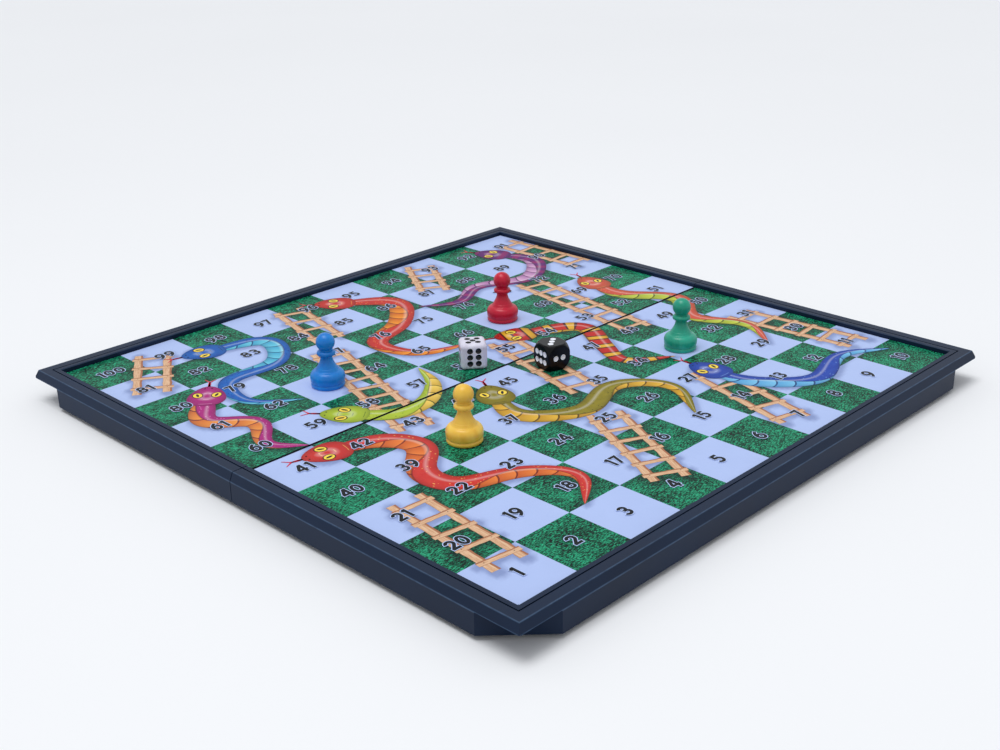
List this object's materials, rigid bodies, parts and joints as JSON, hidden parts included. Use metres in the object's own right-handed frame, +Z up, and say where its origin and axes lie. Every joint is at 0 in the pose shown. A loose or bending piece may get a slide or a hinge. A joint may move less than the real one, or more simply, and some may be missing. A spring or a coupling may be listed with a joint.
{
  "type": "folding snakes and ladders board",
  "caption": "Folding magnetic snakes and ladders board, open flat, with raised black rim, numbered chequered play face, pawns and dice.",
  "frame": {"origin": "on the table, under the middle of the fold line of the open board", "axes": "+X the front player's right, along the fold line; +Y to the rear half with squares 51 to 100; +Z up"},
  "size_m": [0.2516, 0.2516, 0.0306],
  "materials": {
    "case_plastic": "moulded blue-black polystyrene, satin gloss",
    "steel_plate": "bare tinplate",
    "play_sheet": "printed and laminated film",
    "hinge_pin": "drawn wire",
    "feet": "matt moulded rubber",
    "magnet": "nickel plated magnet",
    "blue_plastic": "moulded, glossy",
    "red_plastic": "moulded, glossy",
    "green_plastic": "moulded, glossy",
    "yellow_plastic": "moulded, glossy",
    "white_die": "moulded, black pips",
    "black_die": "moulded, white pips"
  },
  "bodies": {
    "rear_half": {"rear_case": "case_plastic", "rear_steel_plate": "steel_plate", "rear_play_sheet": "play_sheet", "left_hinge_pin": "hinge_pin", "right_hinge_pin": "hinge_pin", "rear_feet": "feet", "rear_latch_magnets": "magnet"},
    "front_half": {"front_case": "case_plastic", "front_steel_plate": "steel_plate", "front_play_sheet": "play_sheet", "front_feet": "feet", "front_latch_magnets": "magnet"},
    "blue_piece": {"blue_pawn": "blue_plastic", "blue_pawn_magnet": "magnet"},
    "red_piece": {"red_pawn": "red_plastic", "red_pawn_magnet": "magnet"},
    "green_piece": {"green_pawn": "green_plastic", "green_pawn_magnet": "magnet"},
    "yellow_piece": {"yellow_pawn": "yellow_plastic", "yellow_pawn_magnet": "magnet"},
    "white_cube": {"white_die": "white_die"},
    "black_cube": {"black_die": "black_die"}
  },
  "joints": [
    {"name": "fold", "type": "hinge", "parent": "rear_half", "child": "front_half", "pos_m": [0, 0, 0.0016], "axis": [1, 0, 0], "range_deg": [0, 180]},
    {"name": "blue_lift", "type": "slide", "parent": "rear_half", "child": "blue_piece", "axis": [0, 0, 1], "range_m": [0, 0.06]},
    {"name": "red_lift", "type": "slide", "parent": "rear_half", "child": "red_piece", "axis": [0, 0, 1], "range_m": [0, 0.06]},
    {"name": "green_lift", "type": "slide", "parent": "front_half", "child": "green_piece", "axis": [0, 0, 1], "range_m": [0, 0.06]},
    {"name": "yellow_lift", "type": "slide", "parent": "front_half", "child": "yellow_piece", "axis": [0, 0, 1], "range_m": [0, 0.06]},
    {"name": "white_die_lift", "type": "slide", "parent": "rear_half", "child": "white_cube", "axis": [0, 0, 1], "range_m": [0, 0.06]},
    {"name": "black_die_lift", "type": "slide", "parent": "front_half", "child": "black_cube", "axis": [0, 0, 1], "range_m": [0, 0.06]}
  ]
}
